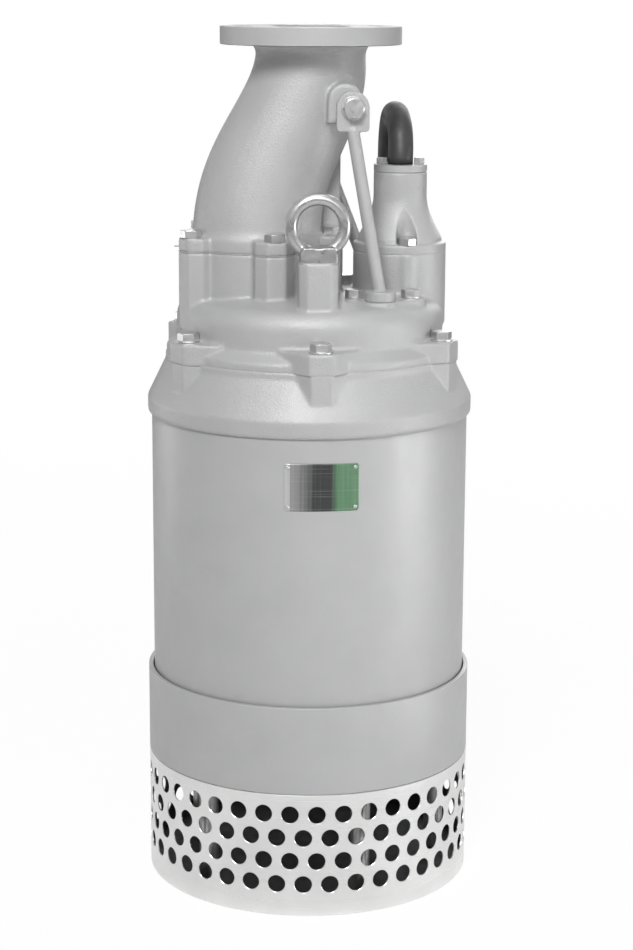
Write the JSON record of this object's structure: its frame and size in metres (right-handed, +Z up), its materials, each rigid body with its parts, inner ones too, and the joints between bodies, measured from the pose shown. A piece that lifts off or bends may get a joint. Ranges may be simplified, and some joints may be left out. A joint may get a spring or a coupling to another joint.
{
  "type": "submersible drainage pump",
  "caption": "Upright submersible drainage pump: strainer foot, tube casing, cast head cover with lifting eyes, S-bend discharge elbow with bolted flange, gland and coiled power cable.",
  "frame": {"origin": "on the shaft axis, at the level of the ground under the strainer", "axes": "+Z up along the shaft towards the discharge flange; the nameplate faces -Y; the cable gland is towards +X and the foot of the discharge elbow towards -X"},
  "size_m": [0.381, 0.723, 0.891],
  "materials": {
    "painted_casting": "satin silver-grey paint over fine cast grain",
    "painted_tube": "satin silver-grey paint on rolled tube",
    "inner_casting": "primed grey cast iron",
    "stainless_sheet": "bright rolled stainless sheet",
    "fastener_steel": "bright stainless bolts, screws and eyes",
    "shaft_steel": "ground steel",
    "bearing_steel": "polished bearing steel",
    "lamination": "stacked electrical steel sheets",
    "winding_copper": "varnished copper winding",
    "cast_aluminium": "die cast",
    "seal_rubber": "matt black rubber",
    "cable_rubber": "satin black rubber sheath",
    "seal_carbon": "lapped carbon face",
    "board_plastic": "brown moulded resin",
    "tie_plastic": "black strap",
    "plate_metal": "brushed plate with a green painted end panel"
  },
  "bodies": {
    "pump": {"casing_cone": "painted_casting", "head_cover": "painted_casting", "discharge_elbow": "painted_casting", "front_stay": "painted_casting", "rear_stay": "painted_casting", "gland_cap": "painted_casting", "gland_clamp_ring": "painted_casting", "gland_clamp_bolts": "painted_casting", "casing_sleeve": "painted_tube", "outer_casing": "painted_tube", "suction_cover": "inner_casting", "pump_casing": "inner_casting", "oil_casing": "inner_casting", "motor_frame": "inner_casting", "lower_bearing_housing": "inner_casting", "upper_bearing_housing": "inner_casting", "strainer": "stainless_sheet", "base_plate": "stainless_sheet", "stay_bars": "fastener_steel", "base_screws": "fastener_steel", "suction_cover_bolts": "fastener_steel", "frame_studs": "fastener_steel", "frame_stud_nuts": "fastener_steel", "head_cover_bolts": "fastener_steel", "elbow_bolts": "fastener_steel", "stay_bolts": "fastener_steel", "stay_washers": "fastener_steel", "front_eyebolt": "fastener_steel", "rear_eyebolt": "fastener_steel", "gland_cap_bolts": "fastener_steel", "housing_bolts": "fastener_steel", "nameplate_rivets": "fastener_steel", "lower_bearing_outer": "bearing_steel", "upper_bearing_outer": "bearing_steel", "stator_core": "lamination", "stator_windings": "winding_copper", "casing_o_ring": "seal_rubber", "elbow_gasket": "seal_rubber", "cable_grommet": "seal_rubber", "cable_entry": "cable_rubber", "power_cable": "cable_rubber", "cable_coil": "cable_rubber", "cable_tail": "cable_rubber", "seal_seat": "seal_carbon", "terminal_board": "board_plastic", "coil_ties": "tie_plastic", "nameplate": "plate_metal"},
    "rotor": {"shaft": "shaft_steel", "impeller": "inner_casting", "impeller_nut": "fastener_steel", "impeller_key": "shaft_steel", "seal_ring": "shaft_steel", "lower_bearing_inner": "bearing_steel", "upper_bearing_inner": "bearing_steel", "rotor_core": "lamination", "rotor_end_rings": "cast_aluminium"},
    "lower_cage": {"lower_bearing_cage": "bearing_steel"},
    "upper_cage": {"upper_bearing_cage": "bearing_steel"}
  },
  "joints": [
    {"name": "shaft_spin", "type": "hinge", "parent": "pump", "child": "rotor", "pos_m": [0, 0, 0], "axis": [0, 0, 1], "continuous": true},
    {"name": "lower_cage_roll", "type": "hinge", "parent": "pump", "child": "lower_cage", "pos_m": [0, 0, 0], "axis": [0, 0, 1], "continuous": true},
    {"name": "upper_cage_roll", "type": "hinge", "parent": "pump", "child": "upper_cage", "pos_m": [0, 0, 0], "axis": [0, 0, 1], "continuous": true}
  ],
  "couplings": [
    {"joint": "lower_cage_roll", "follows": "shaft_spin", "ratio": 0.38461},
    {"joint": "upper_cage_roll", "follows": "shaft_spin", "ratio": 0.38039}
  ]
}
